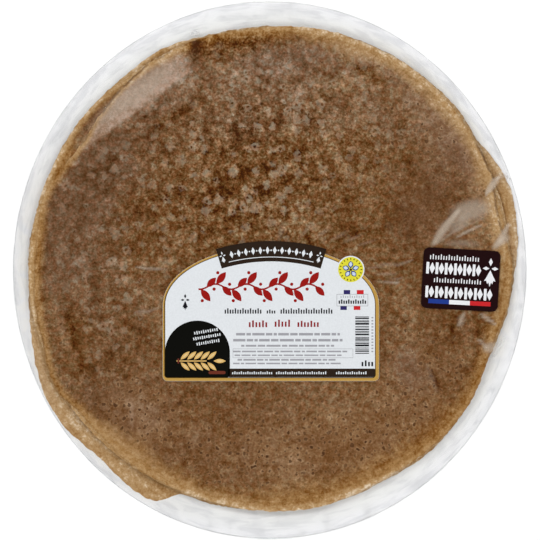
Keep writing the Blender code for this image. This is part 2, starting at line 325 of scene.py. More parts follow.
def lobe(degrees, start, peak, end):
    """Height, 0 to 1, of a smooth lobe that starts, peaks and ends at these angles."""
    turn = (degrees - start) % 360.0 + start
    if turn >= end:
        return 0.0
    share = (turn - start) / (peak - start) if turn < peak else (end - turn) / (end - peak)
    return 0.5 - 0.5 * math.cos(math.pi * share)


def polar(reach, angle):
    """The x and y of a point this far from the middle."""
    return reach * math.cos(angle), reach * math.sin(angle)


@cache
def galette_reach(layer, angle):
    """Distance from the middle to a galette's uneven edge."""
    radius, (shift_x, shift_y), lobes = GALETTES[layer]
    reach = radius + shift_x * math.cos(angle) + shift_y * math.sin(angle)
    for start, peak, end, height in lobes:
        reach += height * lobe(math.degrees(angle), start, peak, end)
    for waves, height in EDGE_RIPPLES:
        reach += height * math.sin(waves * angle + layer * waves)
    return reach


@cache
def frayed_reach(layer, angle):
    """The same edge with its fine fraying."""
    reach = galette_reach(layer, angle)
    for waves, height in FRAY:
        reach += height * noise.noise(Vector((*polar(waves, angle), 7.3 * layer)))
    return reach


def lying_height(layer, reach, angle):
    """Underside of a galette: on the card, and up by each lower one as far as that reaches."""
    height = CARD_THICKNESS + GAP
    for lower in range(layer):
        beyond = (reach - galette_reach(lower, angle)) / DROOP_LENGTH
        height += (GALETTE_THICKNESS + GAP) * (1.0 - smooth_step(beyond))
    return height


def relief(layer, x, y):
    """The low waves of a galette's face."""
    return sum(h * noise.noise(Vector((w * x, w * y, 3.1 * layer))) for w, h in RELIEF)


@cache
def edge_finish(layer, angle):
    """The row of the edge's table for one angle, between the two rows nearest to it."""
    degrees = math.degrees(angle)
    table = TOP_EDGE if layer == TOP else LOWER_EDGE
    for (start, *before), (end, *after) in zip(table, table[1:]):
        if start <= degrees <= end:
            share = (degrees - start) / (end - start)
            return [a + (b - a) * share for a, b in zip(before, after)]


def patchwork(x, y):
    """The marks of the top face at one point: what it starts from, and what the patches add."""
    sums = TOP_FACE
    for middle_x, middle_y, half_width, half_length, turn, *adds in TOP_PATCHES:
        away_x, away_y = x / MM - middle_x, y / MM - middle_y
        c, s = polar(1.0, math.radians(turn))
        along = (c * away_x + s * away_y) / half_width
        across = (c * away_y - s * away_x) / half_length
        if along * along + across * across < 9:
            share = math.exp(-along * along - across * across)
            sums = [total + share * add for total, add in zip(sums, adds)]
    return sums


def baking_marks(layer, x, y, angle, from_edge):
    """What the baking left at one point of a galette, for its material to read."""
    width, gold, *lines = edge_finish(layer, angle)
    if layer == TOP:
        # The smooth grey-mauve stretch, partly a painted veil of light reflected by the film
        smooth = smooth_step((FOLD_WAY.dot((x, y)) - FOLD_AWAY) / FOLD_BLUR)
        smooth *= smooth_step((math.degrees(angle) - FOLD_START) / FOLD_START_BLUR)
        face = [total + smooth * add for total, add in zip(patchwork(x, y), SMOOTH_VEIL_FACE)]
    else:
        # The flap is painted paler inside, partly as painted light against the shade by the
        # galettes above
        flap = lobe(math.degrees(angle), *FLAP)
        gold += FLAP_GOLD * flap * smooth_step((from_edge - FLAP_START) / FLAP_BLUR)
        face = LOWER_FACE
    marks = {"from_edge": from_edge, "gold_width": MM * width}
    for mark, share in zip(EDGE_MARKS + FACE_MARKS, (gold, *lines, *face)):
        marks[mark] = HUNDREDTH * share
    return marks


def new_piece(name, blank, material):
    """Make a finished blank an object of the scene, shaded smooth."""
    mesh = bpy.data.meshes.new(name)
    blank.to_mesh(mesh)
    blank.free()
    mesh.shade_smooth()
    mesh.set_sharp_from_angle(angle=SHARP_ANGLE)
    mesh.materials.append(material)
    piece = bpy.data.objects.new(name, mesh)
    bpy.context.scene.collection.objects.link(piece)
    return piece


def round_piece(name, profile, spokes, place, material):
    """A grid of profile steps and spokes, bent round +Z so that it closes on itself.

    place gives each point's reach and height, and the marks that the material reads there."""
    blank = bmesh.new()
    last = len(profile) - 1
    bmesh.ops.create_grid(blank, x_segments=spokes, y_segments=last, size=1.0)
    layers = {mark: blank.verts.layers.float.new(mark) for mark in place(0, 0, 0.0)[2]}
    for vert in blank.verts:
        angle = round((vert.co.x + 1) / 2 * spokes) % spokes * math.tau / spokes
        ring, level = profile[round((vert.co.y + 1) / 2 * last)]
        reach, height, marks = place(ring, level, angle)
        vert.co = (*polar(reach, angle), height)
        for mark, value in marks.items():
            vert[layers[mark]] = value
    bmesh.ops.remove_doubles(blank, verts=blank.verts, dist=MERGE_DISTANCE)
    bmesh.ops.recalc_face_normals(blank, faces=blank.faces)
    return new_piece(name, blank, material)


def mark_of(where, name):
    """The number that a piece's mesh holds under this name."""
    return node(where.tree, "ShaderNodeAttribute", attribute_name=name)["Fac"]


def ramp(value, stops):
    """A colour read from stops of (place, colour) by a value from 0 to 1."""
    strip = value.tree.nodes.new("ShaderNodeValToRGB")
    feed(strip.inputs["Fac"], value)
    elements = strip.color_ramp.elements
    while len(elements) < len(stops):
        elements.new(1.0)
    for element, (place, colour) in zip(elements, stops):
        element.position = place
        element.color = (*colour, 1.0)
    return Signal(value.tree, strip.outputs["Color"])


def bent_round(where, along, across):
    """Coordinates bent round the middle, so that a pattern read by them runs in long arcs."""
    flat = where.vector('MULTIPLY', (1.0, 1.0, 0.0))
    lifted = node(where.tree, "ShaderNodeCombineXYZ", {"Z": flat.vector('LENGTH') * across})[0]
    return flat.vector('NORMALIZE').vector('MULTIPLY_ADD', (along, along, along), lifted)


def cells(where, scale):
    """Flat random cells: the distance from each one's middle, and three lots drawn for it."""
    cell = node(where.tree, "ShaderNodeTexVoronoi", {"Vector": where, "Scale": scale},
                voronoi_dimensions='2D')
    lots = node(where.tree, "ShaderNodeSeparateColor", {"Color": cell["Color"]})
    return cell["Distance"], lots[0], lots[1], lots[2]


def baked_buckwheat():
    """Baked batter: a browned net round paler spots, pores, and a golden fringe at the edge."""
    material, shader, where = new_finish("baked_buckwheat", 0.62)
    feed(shader["Specular IOR Level"], 0.12)
    tone, mauve, contrast, pores, blobs = (mark_of(where, mark) for mark in FACE_MARKS)
    gold, dark_line, pale_line = (mark_of(where, mark) for mark in EDGE_MARKS)
    fine = grain(where, FINE_SCALE, 2.0, 0.6)
    net = grain(where, NET_SCALE, 3.0, 0.6, 0.6)
    blotch = grain(where, BLOTCH_SCALE, 3.0, 0.55, 0.4)
    cloud = grain(where, CLOUD_SCALE)
    push = grain(where, PUSH_SCALE, 1.0, output="Color")
    pushed = push.vector('MULTIPLY_ADD', CELL_PUSH, where)
    spots = node(where.tree, "ShaderNodeTexVoronoi",
                 {"Vector": pushed, "Scale": SPOT_SCALE, "Smoothness": 0.35}, feature='SMOOTH_F1')
    uneven = (net - 0.5) * 0.8 + (fine - 0.5) * 0.95 + (blotch - 0.5) * (blobs * 0.7 + 0.3)
    uneven = (uneven + (spots["Distance"] - 0.42) * -0.38) * contrast

    # Pale blobs, some of them pierced by a dark eye
    away, first, second, third = cells(pushed, BLOB_SCALE)
    inside = (away - (second * 0.26 + (net - 0.5) * 0.8 + 0.16)).ease(0.10, -0.14)
    pale = inside * (first < 0.60) * blobs
    eye = away.ease(0.15, 0.05) * pale * (third < 0.32)
    uneven = uneven + pale * 0.10 + eye * -0.34
    # The batter was spread round and round, which leaves long faint arcs
    arcs = grain(bent_round(where, ARCS_ALONG, ARCS_ACROSS), 1.0, 3.0, 0.55, 0.5)
    value = uneven + (arcs - 0.5) * 0.30 + (cloud - 0.5) * 0.33 + tone + 0.42

    # Grey-mauve: partly the batter's own grey, partly a painted veil of light reflected by the film
    mauve = (grain(where, MAUVE_VEIL_SCALE) - 0.5) * 0.9 + mauve + 0.2
    colour = mauve.ease(0.0, 1.0).blend(ramp(value, BROWN_TONES), ramp(value, MAUVE_TONES))
    colour = ((pale - eye) * 0.5).blend(colour, BLOB_BEIGE)
    tint = grain(where, TINT_SCALE).ease(0.34, 0.66).blend(GREYER, REDDER)
    tint = contrast.ease(0.45, 0.78).blend(SMOOTH_TINT, tint)
    colour = colour.vector('MULTIPLY', tint)

    # Pores, each in a paler lip
    away, first, second, third = cells(pushed, PORE_SCALE)
    inside = away - (second * 0.13 + 0.09)
    holed = first < pores
    pore = inside.ease(0.08, -0.03) * holed
    lip = inside.ease(0.28, 0.12) * holed
    colour = (lip * 0.30).blend(colour, ramp(value + 0.22, BROWN_TONES))
    depth = pores * 0.35 + third * 0.5 + 0.15
    colour = (pore * depth).blend(colour, PORE_BROWN)

    # The golden fringe, ragged inwards, with a pale or a dark line at the very edge
    from_edge = mark_of(where, "from_edge")
    ragged = blotch + (cloud - 0.5) * 0.9 + 0.5
    share = from_edge / (mark_of(where, "gold_width") * ragged)
    golden = share.ease(1.6, 0.15) * 0.94 * tone.ease(-0.45, -0.12)
    bands = grain(bent_round(where, ARCS_ALONG, 3 * ARCS_ACROSS), 1.0, 3.0, 0.6, 0.5)
    gold = uneven * 0.9 + gold + tone * 0.9 + (bands - 0.5) * 0.6 + 0.54
    # The pale line: partly the paler fringe, partly painted light in the thin edge
    pale_line = from_edge.ease(0.0048, 0.0) * pale_line * net.ease(0.10, 0.60)
    gold = gold + from_edge.ease(0.003, 0.009) * -0.10 + pale_line * 0.36
    colour = golden.blend(colour, ramp(gold, GOLD_TONES))
    # The dark line: partly the browned edge, partly painted shadow of the gap under the edge
    dark_line = from_edge.ease(0.0020, 0.0006) * dark_line * blotch.ease(0.35, 0.55)
    feed(shader["Base Color"], dark_line.blend(colour, EDGE_LINE_BROWN))
    feed(shader["Normal"], raised(pore * -0.8 + value, 0.00035, 0.55))
    feed(shader["Roughness"], fine * 0.3 + 0.45)
    return material


def galette(layer, material):
    """One galette, thick in its middle, thin and frayed at its edge, lying on those below."""
    inner_rings = LOWER_INNER_RINGS
    if layer == TOP:
        inner_rings = round((GALETTES[TOP][0] - FINE_RING_WIDTH) / TOP_RING_STEP)
    last = inner_rings + round(FINE_RING_WIDTH / FINE_RING_STEP)

    def place(ring, level, angle):
        edge = frayed_reach(layer, angle)
        if level < 0:
            reach = edge * UNDER_RING_SHARES[ring]
        elif ring >= inner_rings:
            reach = edge - (last - ring) * FINE_RING_STEP
        else:
            reach = (edge - FINE_RING_WIDTH) * ring / inner_rings
        from_edge = edge - reach
        full = smooth_step(from_edge / THIN_EDGE_WIDTH)
        height = lying_height(layer, reach, angle) - EDGE_SINK * (1.0 - full)
        x, y = polar(reach, angle)
        if level >= 0:
            share = THIN_EDGE_SHARE + (1.0 - THIN_EDGE_SHARE) * full
            height += GALETTE_THICKNESS * share + relief(layer, x, y) * (0.3 + 0.7 * full)
        return reach, height, baking_marks(layer, x, y, angle, from_edge)

    profile = [(ring, 0) for ring in range(last + 1)]
    profile += [(ring, -1) for ring in reversed(range(len(UNDER_RING_SHARES)))]
    return round_piece(f"buckwheat_galette_{layer + 1}", profile, SPOKES, place, material)


buckwheat = baked_buckwheat()
for number in range(len(GALETTES)):
    piece = galette(number, buckwheat)
    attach(piece, "root")
    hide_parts(f"galette_{number + 1}")


# The film
# A clear shrink film, a few hundredths of a millimetre thick, drawn tight over the stack,
# round the card's edge and shut underneath. It lies flat on the top galette, slopes down to
# the rim past the edges of the stack, and is creased and puckered where it shrank unevenly.
PACK_WIDTH = 0.3526
PACK_LENGTH = 0.3690
FILM_THICKNESS = 0.00004
CAD_FILM_THICKNESS = 0.0003
FILM_SLACK = 0.0004
EDGE_CLEARANCE = 0.0006
RIM_CLEARANCE = 0.00006
FILM_SPOKES = 640
FILM_FLAT_SHARE = 0.95
FILM_MIDDLE_SHARE = 0.56
FILM_RINGS = (10, 36, 26)
FILM_UNDER_SHARES = (0.0, 0.5, 0.9, 0.985)
FILM_UNDER_HEIGHT = -0.00006
# The tight film rounds the corner over each edge below it by this much on either side
FILM_ROUNDING = 0.0018
# The faint unevenness of the film: waves in each metre and their height
FILM_WAVES = 60
FILM_WAVE_HEIGHT = 0.00006
# Noise scales of the film's ripples and of its milky streaks, which are partly painted highlight
RIPPLE_SCALE = 130
STREAK_SCALE = 260
FILM_INDEX = 1.42
FILM_TINT = (0.996, 0.997, 0.998)
# The film's milk over the galettes and over the card, partly painted highlight, warm over the food
HIGHLIGHT_MILK_OVER_FOOD = (0.62, 0.51, 0.40)
HIGHLIGHT_MILK_OVER_CARD = (0.84, 0.84, 0.84)
# Pleats round the rim: how many there are along each radian and each metre, and their tint
PLEATS_ALONG = 9.0
PLEATS_ACROSS = 260.0
PLEAT_GREY = (0.954, 0.956, 0.960)
# Where the labels lie, and the apron round them over which the film rises to meet them
UNDER_LABEL = 0.00996
LABEL_APRON = 0.004
PLATE_CENTRE_X = 0.0008
PLATE_BOTTOM_Y = -0.0760
PLATE_SHOULDER_Y = -0.0240
PLATE_HALF_WIDTH = 0.0740
PLATE_ARCH_RISE = 0.0403
STICKER_CENTRE = (0.1306, -0.0065)
STICKER_WIDTH = 0.0526
STICKER_HEIGHT = 0.0415
STICKER_TURN = math.radians(-3.2)

# Creases in millimetres: the points each runs through, half its width, its lift, and how
# milky it looks, a milkiness that is partly the film's own and partly painted highlight
CREASES = (
    (((111, 15.5), (116.2, 24), (121, 30.8), (129.5, 41)), 2.6, 0.30, 0.36),
    (((148, 52), (152.5, 58.5), (157, 64)), 2.2, 0.35, 0.44),
    (((155.5, 62.4), (158.5, 64.4), (162, 64.4), (166, 62)), 1.0, 0.30, 0.25),
    (((114, 17.4), (123.7, 25), (133, 30), (146, 35)), 1.1, 0.35, 0.10),
    (((129, 23), (136, 26.8), (144, 30.4)), 1.0, 0.25, 0.26),
    (((133, -29), (131, -34), (129.8, -39)), 1.7, 0.25, 0.26),
    (((144, -29.5), (149, -33.5), (154.5, -37)), 1.2, 0.30, 0.28),
    (((107, -64), (110.5, -73), (114.5, -84)), 1.2, 0.25, 0.06),
    (((143, -47.5), (146.5, -51), (149, -54.5)), 1.2, 0.30, 0.20),
    (((153.5, -59), (156.5, -53), (160.5, -46.5)), 1.6, 0.35, 0.35),
    (((-92, 2.4), (-84, 0.8), (-76, 0.6), (-69, 2)), 1.0, 0.20, 0.16),
    (((-92, -28.8), (-76, -28)), 1.0, 0.20, 0.12),
    (((0, 25.5), (30, 26.5), (60, 21), (75, 15)), 1.0, 0.12, 0.07),
    (((78.5, -15.8), (83, -11.5), (88.5, -7.8)), 1.1, 0.20, 0.24),
    (((69, 1.2), (86, 5.5)), 1.0, 0.10, 0.10), (((72, -4.2), (87, -1.2)), 1.0, 0.10, 0.10),
    (((72, -9.8), (91, -5.3)), 1.0, 0.10, 0.10), (((84, 2), (98, 7)), 1.0, 0.10, 0.09),
    (((-76, 137), (-75.6, 130), (-75.8, 124)), 1.0, 0.20, 0.0),
    (((152, 13), (157.5, 20), (163.5, 31)), 2.2, 0.30, 0.38),
)
# Milky patches in millimetres, partly the film's own haze and partly painted highlight and veil:
# middle, half width and length, turn in degrees, milkiness
MILK_AND_HIGHLIGHT_PATCHES = (
    ((138, 41), (12.5, 6.5), 10, 0.25), ((130, 32), (8, 4), 42, 0.18),
    ((131, 17), (12, 3.5), 0, 0.12), ((160, 20.5), (4.5, 2.5), 30, 0.28),
    ((150.8, -53), (4.5, 3.5), 20, 0.28), ((-91, 121), (34, 6.5), 37, 0.20),
    ((-51.3, 162.6), (2.2, 1.6), 0, 0.80), ((12, 178), (20, 5), 0, 0.06))
# Lobes of the shrunk rim: start, peak and end in degrees, then in hundredths of a millimetre
# the height of the puckers that run out from the stack and of the pleats that run along it
RIM_GATHERS = (
    (55, 82, 112, 14, 12), (95, 108, 122, 28, 8), (108, 140, 168, 6, 6),
    (150, 180, 205, 12, 12), (238, 248, 262, 20, 12), (250, 275, 300, 22, 16),
    (280, 303, 325, 28, 26), (308, 330, 350, 40, 22), (338, 352, 372, 30, 10),
    (20, 42, 66, 10, 10))
# The waves of puckers and of pleats, along each radian and along each metre outwards
GATHER_WAVES = ((42, 40), (8, 420))
# They begin this far within the stack's edge and flatten out this near to the card's
GATHER_START = 0.008
GATHER_END = 0.004
# The width over which the film's look changes from that over food to that over the card
OVER_CARD_BLUR = 0.0025


def film_top():
    """Height of the film over the middle of the uppermost galette."""
    return lying_height(TOP, 0.0, 0.0) + GALETTE_THICKNESS + FILM_SLACK


@cache
def card_reach(angle):
    """Distance from the middle to the card's edge, inside the film."""
    wrap = CAD_FILM_THICKNESS + GAP
    across, along = PACK_WIDTH / 2 - wrap, PACK_LENGTH / 2 - wrap
    return 1.0 / math.hypot(math.cos(angle) / across, math.sin(angle) / along)


def stack_reach(angle):
    """Distance from the middle to the outermost galette's edge."""
    return max(galette_reach(layer, angle) for layer in range(len(GALETTES)))


@cache
def film_supports(angle):
    """What holds the film up on one side: the flat top, every galette's edge and the card."""
    supports = [(0.0, film_top()), (FILM_FLAT_SHARE * galette_reach(TOP, angle), film_top())]
    for layer in range(len(GALETTES)):
        reach = galette_reach(layer, angle)
        edge_top = lying_height(layer, reach, angle) + FILM_SLACK
        supports.append((reach + EDGE_CLEARANCE, edge_top + FILM_SLACK))
    supports.append((card_reach(angle) + RIM_CLEARANCE, CARD_THICKNESS + GAP))
    return supports


@cache
def film_spans(angle):
    """The straight spans of the tight film on one side, from support to support."""
    spans = []
    start, *ahead = film_supports(angle)
    while start[0] < card_reach(angle):
        ahead = [stop for stop in ahead if stop[0] > start[0]]
        stop = max(ahead, key=lambda stop: (stop[1] - start[1]) / (stop[0] - start[0]))
        spans.append((start, stop))
        start = stop
    return spans


def tight_height(reach, angle):
    """Height of the straight span over one point."""
    for (inner_x, inner_z), (outer_x, outer_z) in film_spans(angle):
        if reach <= outer_x:
            break
    share = min((reach - inner_x) / (outer_x - inner_x), 1.0)
    return inner_z + share * (outer_z - inner_z)


def film_height(reach, angle):
    """Height of the tight film, rounded where one span meets the next."""
    steps = (-1.0, -0.5, 0.0, 0.5, 1.0)
    return sum(tight_height(reach + FILM_ROUNDING * step, angle) for step in steps) / len(steps)


@cache
def film_reaches(angle):
    """Reaches of the film's rings on one side: wide in the middle, close over the slope."""
    flat = FILM_FLAT_SHARE * galette_reach(TOP, angle)
    stops = (0.0, FILM_MIDDLE_SHARE * flat, flat, card_reach(angle) + RIM_CLEARANCE)
    reaches = [0.0]
    for count, start, end in zip(FILM_RINGS, stops, stops[1:]):
        reaches += [start + (end - start) * step / count for step in range(1, count + 1)]
    return reaches


def label_lift(x, y):
    """How far the film rises to meet the labels, 0 to 1: fully under them, and falling off."""
    across = (x - PLATE_CENTRE_X) / PLATE_HALF_WIDTH
    above = (y - PLATE_SHOULDER_Y) / PLATE_ARCH_RISE
    inside = min((1.0 - abs(across)) * PLATE_HALF_WIDTH, y - PLATE_BOTTOM_Y)
    if above > 0:
        inside = (1.0 - math.hypot(across, above)) * PLATE_ARCH_RISE
    away = Vector((x - STICKER_CENTRE[0], y - STICKER_CENTRE[1]))
    away.rotate(Matrix.Rotation(-STICKER_TURN, 2))
    inside = max(inside, min(STICKER_WIDTH / 2 - abs(away.x), STICKER_HEIGHT / 2 - abs(away.y)))
    return smooth_step((inside + LABEL_APRON) / LABEL_APRON)


def crease_gap(spot, points):
    """Distance from a point to a crease, and how far along the crease is nearest, 0 to 1."""
    gaps = []
    last = len(points) - 1
    for number in range(last):
        start = Vector(points[number])
        stretch = Vector(points[number + 1]) - start
        share = min(max((spot - start).dot(stretch) / stretch.length_squared, 0.0), 1.0)
        gaps.append(((spot - start - stretch * share).length, (number + share) / last))
    return min(gaps)


def crease_marks(x, y):
    """Lift and milkiness, partly painted highlight, that creases and patches give the film at one
    point.
    """
    lift, milk_and_highlight = 0.0, 0.0
    spot = Vector((x / MM, y / MM))
    for points, half_width, height, haze_and_highlight in CREASES:
        near, share = crease_gap(spot, points)
        width = half_width * (0.4 + 0.6 * math.sin(math.pi * share))
        if near < 3 * width:
            lift += MM * height * math.exp(-(near / width) ** 2)
            milk_and_highlight += haze_and_highlight * math.exp(-(near / width) ** 3)
    for middle, size, turn, haze_and_highlight in MILK_AND_HIGHLIGHT_PATCHES:
        away = spot - Vector(middle)
        away.rotate(Matrix.Rotation(math.radians(-turn), 2))
        off = (away.x / size[0]) ** 2 + (away.y / size[1]) ** 2
        if off < 4:
            milk_and_highlight += haze_and_highlight * math.exp(-off * off)
    return lift, milk_and_highlight


def rim_gathers(reach, angle):
    """Lift of the film's puckers and pleats between the stack and the rim."""
    lift = 0.0
    zone = smooth_step((reach - stack_reach(angle) + GATHER_START) / GATHER_START)
    zone *= 0.35 + 0.65 * smooth_step((card_reach(angle) - reach) / GATHER_END)
    for start, peak, end, *heights in RIM_GATHERS:
        share = zone * lobe(math.degrees(angle), start, peak, end)
        if share > 0:
            for height, (around, outward) in zip(heights, GATHER_WAVES):
                place = Vector((*polar(around, angle), reach * outward + peak))
                lift += share * height * noise.noise(place) * HUNDREDTH * MM
    return lift


def mixed(share, first, second):
    """Two shaders mixed, by the second's share."""
    return node(share.tree, "ShaderNodeMixShader", {0: share, 1: first, 2: second})[0]


def clear_plastic():
    """Clear film: mostly see-through, glossy, a little cloudy white where creased, partly painted
    highlight.
    """
    material = bpy.data.materials.new("clear_plastic")
    material.use_nodes = True
    tree = material.node_tree
    tree.nodes.clear()
    where = node(tree, "ShaderNodeTexCoord")["Object"]
    ripple = raised(grain(where, RIPPLE_SCALE, 3.0, 0.55, 0.8), 0.00025, 0.5)
    # A Fresnel node turns its index over on a back face, so the inner wall gets the index
    # already turned, and mirrors no more light than the outer one
    inner = node(tree, "ShaderNodeNewGeometry")["Backfacing"]
    index = inner * (1 / FILM_INDEX - FILM_INDEX) + FILM_INDEX
    mirrored = node(tree, "ShaderNodeFresnel", {"IOR": index, "Normal": ripple})[0]
    # Round the rim the pleats, long and narrow, let less light through
    bent = bent_round(where, PLEATS_ALONG, PLEATS_ACROSS)
    over_card = mark_of(where, "over_card")
    dimmed = grain(bent, 1.0, 4.0, 0.55, 0.6).ease(0.44, 0.62) * over_card
    tint = dimmed.blend(FILM_TINT, PLEAT_GREY)
    clear = node(tree, "ShaderNodeBsdfTransparent", {"Color": tint})[0]
    gloss = node(tree, "ShaderNodeBsdfGlossy", {"Roughness": 0.09, "Normal": ripple})[0]
    # The milk is partly the film's own haze and partly painted highlight on creases and folds
    white = over_card.blend(HIGHLIGHT_MILK_OVER_FOOD, HIGHLIGHT_MILK_OVER_CARD)
    front = node(tree, "ShaderNodeBsdfDiffuse", {"Color": white})[0]
    through = node(tree, "ShaderNodeBsdfTranslucent", {"Color": white})[0]
    highlight_milk = mixed(over_card * 0.5, front, through)
    haze_and_highlight = mark_of(where, "milk_and_highlight") * (grain(where, STREAK_SCALE, 3.0, 0.6) * 0.8 + 0.6)
    whole = mixed(haze_and_highlight, mixed(mirrored, clear, gloss), highlight_milk)
    node(tree, "ShaderNodeOutputMaterial", {"Surface": whole})
    return material


def film_place(ring, level, angle):
    """Where a point of the film lies, and its milkiness there, partly painted highlight."""
    reaches = film_reaches(angle)
    marks = {"milk_and_highlight": 0.0, "over_card": 1.0}
    if level < 0:
        return FILM_UNDER_SHARES[ring] * reaches[-1], FILM_UNDER_HEIGHT, marks
    if ring == len(reaches):
        return reaches[-1], 0.0, marks
    reach = reaches[ring]
    x, y = polar(reach, angle)
    lift, milk_and_highlight = crease_marks(x, y)
    height = film_height(reach, angle) + lift + rim_gathers(reach, angle)
    height += FILM_WAVE_HEIGHT * noise.noise(Vector((x * FILM_WAVES, y * FILM_WAVES, 5.0)))
    under_label = label_lift(x, y)
    height += (UNDER_LABEL - height) * under_label
    marks["milk_and_highlight"] = milk_and_highlight * (1.0 - under_label)
    marks["over_card"] = smooth_step((reach - stack_reach(angle)) / OVER_CARD_BLUR)
    return reach, height, marks


film_profile = [(ring, 0) for ring in range(len(film_reaches(0.0)) + 1)]
film_profile += [(ring, -1) for ring in reversed(range(len(FILM_UNDER_SHARES)))]
film = round_piece("clear_shrink_film", film_profile, FILM_SPOKES, film_place, clear_plastic())
wall = film.modifiers.new("film thickness", 'SOLIDIFY')
wall.thickness = FILM_THICKNESS
wall.offset = -1.0
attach(film, "root")
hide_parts("clear_film")


# The front label
# A die-cut label of coated white paper, stuck on the film: an arched plate with a banner bent
# over its top and a round seal at its shoulder. Each ink is a coat laid on the paper. Where
# the shop pack carries words, this one has plain ornament of the same colours and size.
LABEL_TOP = 0.0102
# The step from coat to coat, and a coat's thickness in steps, so that it sinks into the last
COAT_STEP = 0.00002
COAT_THICKNESS = 1.25
PAPER_WHITE = (0.670, 0.694, 0.718)
GOLD = (0.450, 0.265, 0.062)
OLIVE = (0.062, 0.034, 0.004)
BANNER_BROWN = (0.023, 0.014, 0.009)
NEAR_BLACK = (0.004, 0.004, 0.003)
INK_BLACK = (0.009, 0.009, 0.012)
TITLE_RED = (0.272, 0.009, 0.007)
DARK_RED = (0.234, 0.019, 0.021)
PRINT_GREY = (0.313, 0.313, 0.335)
BLUE = (0.029, 0.023, 0.113)
RED = (0.516, 0.019, 0.023)
YELLOW = (0.652, 0.607, 0.040)
PALE_BLUE = (0.516, 0.600, 0.778)
DARK_BLUE = (0.012, 0.040, 0.168)
TAN = (0.606, 0.383, 0.126)
PALE_TAN = (0.680, 0.500, 0.240)
TIE_BROWN = (0.130, 0.028, 0.016)
# Noise scales of the ink and the paper
INK_SCALE = 900
INK_WAVE_SCALE = 90
PAPER_FIBRE_SCALE = 1200
PAPER_WAVE_SCALE = 60

# From here on the label's places and sizes are in millimetres
SHOULDER = -24.0
FOOT = -73.4
# The banner and the line below it, all round one middle
BANNER_MIDDLE = (1.0, -112.5)
LOZENGE_REACH = 126.0
SEAL_MIDDLE = (55.4, 0.3)
# The ear in the dark corner: its first pair of grains, the pairs, the step between, their turn
EAR_X, EAR_Y = -61.0, -62.2
EAR_PAIRS = 5
EAR_STEP = 4.6
EAR_TURN = 42
# Rows of small print: start, end, middle height and bar height
GREY_ROWS = (
    (-23.0, 48.0, -43.9, 1.7), (-25.0, 49.8, -48.0, 1.7), (-19.5, 44.0, -51.8, 1.3),
    (-25.0, 53.0, -55.7, 1.1), (-24.0, 50.0, -58.3, 1.0), (-22.0, 45.0, -61.4, 1.2),
    (-25.0, 48.5, -63.9, 1.0))
# Fine lines round the small print and round the row of marks beside it: middle and size
GREY_FRAME = (
    (15.9, -53.9, 82.0, 0.25), (15.9, -60.0, 82.0, 0.25), (-25.1, -57.0, 0.25, 6.1),
    (56.9, -57.0, 0.25, 6.1))
GREY_BOX = (
    (56.5, -16.6, 21.0, 0.3), (56.5, -24.6, 21.0, 0.3), (45.9, -20.6, 0.3, 8.2),
    (67.1, -20.6, 0.3, 8.2))
# The garland: first leaf, level, length of a wave and its swing
GARLAND_START = -47.0
GARLAND_LEVEL = -11.4
GARLAND_WAVE = 21.2
GARLAND_SWING = 1.8
WORD_LENGTHS = (6.2, 3.1, 8.4, 4.4, 2.2, 7.3, 5.1, 9.6, 3.8)
STRIPE_WIDTHS = (0.5, 0.9, 0.4, 0.7, 1.3, 0.5, 0.4, 0.9, 0.6, 0.4, 1.1, 0.5)


def fit(coat, verts, middle, half_size, turn):
    """Stretch, turn and place a flat shape that was made with a half size of 1."""
    moved = Matrix.Translation((*middle, 0)) @ Matrix.Rotation(math.radians(turn), 4, 'Z')
    bmesh.ops.transform(coat, matrix=moved @ Matrix.Diagonal((*half_size, 1, 1)), verts=verts)


def disc(coat, sides):
    """A flat disc with a radius of 1."""
    return bmesh.ops.create_circle(coat, cap_ends=True, radius=1.0, segments=sides)["verts"]


def round_off(coat, corners, radius, segments=5):
    """Round the corners of a flat shape."""
    bmesh.ops.bevel(coat, geom=corners, offset=radius, affect='VERTICES', segments=segments,
                    profile=0.5, material=-1)


def bar(coat, middle, width, height, turn=0.0, corner=0.0):
    """A flat rectangle, its corners rounded if asked for."""
    verts = bmesh.ops.create_grid(coat, x_segments=1, y_segments=1, size=1.0)["verts"]
    fit(coat, verts, middle, (width / 2, height / 2), turn)
    if corner:
        round_off(coat, verts, corner)


def oval(coat, middle, half_width, half_height, turn=0.0, sides=40):
    """A flat oval, or a lozenge where it has four sides."""
    fit(coat, disc(coat, sides), middle, (half_width, half_height), turn)


def leaf(coat, stalk, length, half_width, turn):
    """A flat leaf that grows from its stalk: an oval pinched to a point at both ends."""
    verts = disc(coat, 20)
    for vert in verts:
        vert.co.y *= abs(vert.co.y)
        vert.co.x += 1.0
    fit(coat, verts, stalk, (length / 2, half_width), turn)


def arch(coat, middle, half_width, foot, shoulder, rise, corner):
    """A plate with an arched top: half an oval, drawn down from its shoulder to its foot."""
    verts = disc(coat, 96)
    fit(coat, verts, (middle, shoulder), (half_width, rise), 0.0)
    whole = verts + list({edge for vert in verts for edge in vert.link_edges})
    whole += list({face for vert in verts for face in vert.link_faces})
    cut = bmesh.ops.bisect_plane(
        coat, geom=whole, plane_co=(0, shoulder, 0), plane_no=(0, -1, 0), clear_outer=True)
    level = [part for part in cut["geom_cut"] if isinstance(part, bmesh.types.BMEdge)]
    drawn = bmesh.ops.extrude_edge_only(coat, edges=level)["geom"]
    feet = [part for part in drawn if isinstance(part, bmesh.types.BMVert)]
    bmesh.ops.translate(coat, vec=(0, foot - shoulder, 0), verts=feet)
    round_off(coat, feet, corner, 6)


